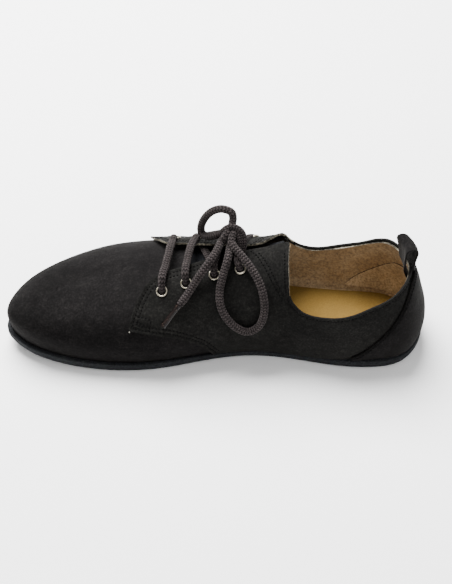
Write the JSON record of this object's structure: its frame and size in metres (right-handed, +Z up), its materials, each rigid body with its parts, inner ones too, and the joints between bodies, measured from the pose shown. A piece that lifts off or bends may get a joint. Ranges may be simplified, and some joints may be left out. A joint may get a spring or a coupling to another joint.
{
  "type": "barefoot shoe",
  "caption": "Low lace-up barefoot shoe for the right foot: foot-shaped hollow suede upper with quarters, heel counter and pull loop on a thin cupped rubber outsole, lace tied in a bow.",
  "frame": {"origin": "middle of the heel's flat spot on the floor, 40 mm ahead of the heel's back", "axes": "+X towards the toe, +Y to the medial side, +Z up"},
  "size_m": [0.2825, 0.1006, 0.0936],
  "materials": {
    "sole_rubber": "matt bluish-black moulded rubber",
    "insole_leather": "yellow-tan smooth leather",
    "vamp_suede": "brown-black suede, tan suede on its inner face",
    "quarter_suede": "grey-green black nubuck, tan suede on its inner face",
    "tongue_leather": "near-black soft suede",
    "eyelet_metal": "nickel-plated metal",
    "lace_yarn": "taupe round braid",
    "tip_plastic": "clear dark brown film"
  },
  "bodies": {
    "root": {"outsole": "sole_rubber", "insole": "insole_leather", "upper": "vamp_suede", "tongue": "tongue_leather", "heel_counter": "vamp_suede", "pull_loop": "vamp_suede", "quarter_medial": "quarter_suede", "quarter_lateral": "quarter_suede", "eyelet_medial_1": "eyelet_metal", "eyelet_medial_2": "eyelet_metal", "eyelet_medial_3": "eyelet_metal", "eyelet_medial_4": "eyelet_metal", "eyelet_lateral_1": "eyelet_metal", "eyelet_lateral_2": "eyelet_metal", "eyelet_lateral_3": "eyelet_metal", "eyelet_lateral_4": "eyelet_metal", "lace_bar_1": "lace_yarn", "lace_bar_2": "lace_yarn", "lace_bar_3": "lace_yarn", "lace_bar_4": "lace_yarn", "lace_knot": "lace_yarn", "lace_loop_near": "lace_yarn", "lace_loop_far": "lace_yarn", "lace_end_near": "lace_yarn", "lace_end_far": "lace_yarn", "lace_tip_near": "tip_plastic", "lace_tip_far": "tip_plastic"}
  },
  "joints": []
}
